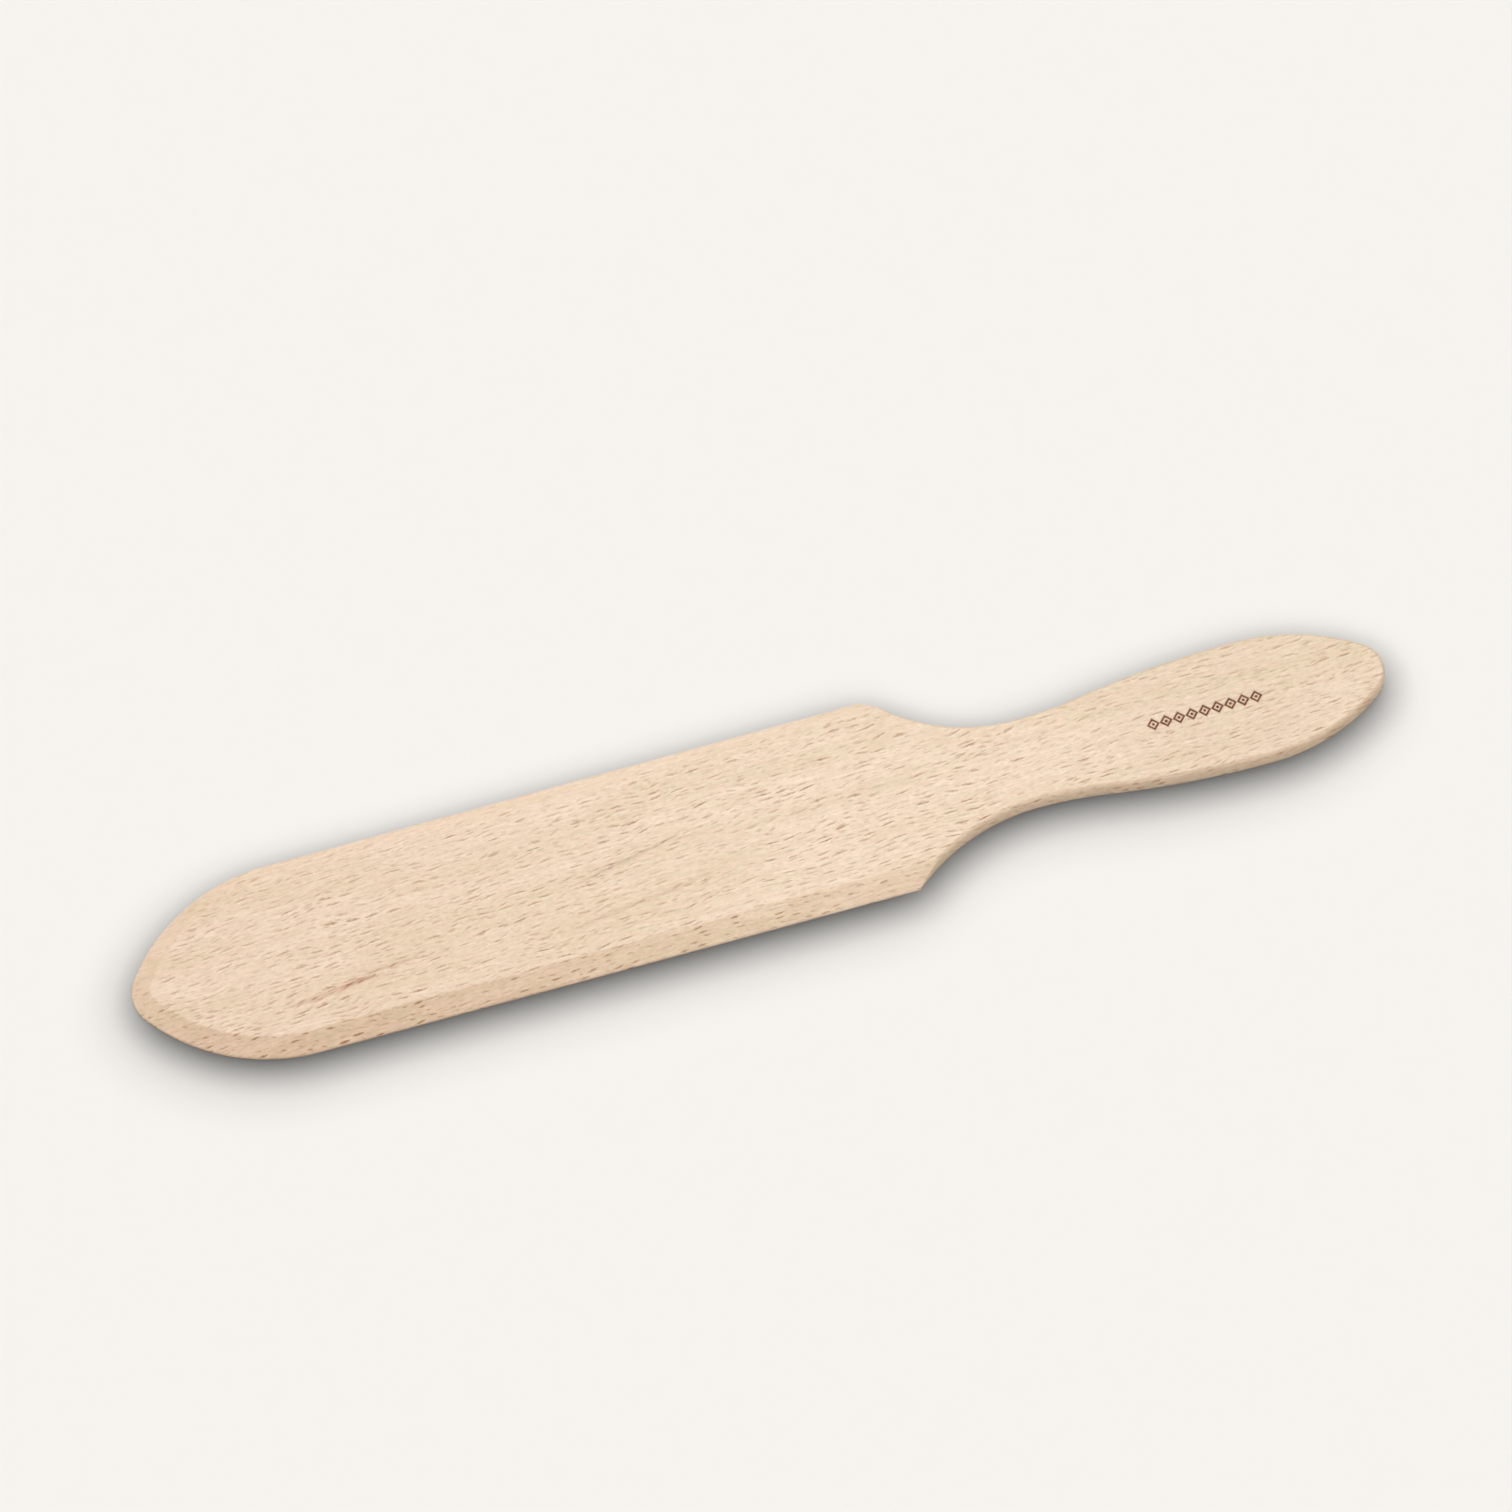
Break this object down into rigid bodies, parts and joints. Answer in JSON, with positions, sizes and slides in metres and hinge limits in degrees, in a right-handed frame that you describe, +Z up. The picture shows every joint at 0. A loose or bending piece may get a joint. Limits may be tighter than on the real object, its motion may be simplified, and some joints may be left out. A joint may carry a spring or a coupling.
{
  "type": "crepe spatula",
  "caption": "Flat wooden crepe spatula with a round-nosed blade, bevelled round its edge, concave shoulders and a waisted, swelling handle",
  "frame": {"origin": "on the resting plane of the underside, below the middle of the overall length and of the blade's width", "axes": "+X runs along the grain from the blade's nose to the end of the handle, +Y across the blade, +Z up out of the bevelled upper face"},
  "size_m": [0.3, 0.049, 0.0052],
  "materials": {
    "beech": "bare sanded beech, matte, with short dark ray flecks along the grain"
  },
  "bodies": {
    "root": {"spatula": "beech"}
  },
  "joints": []
}
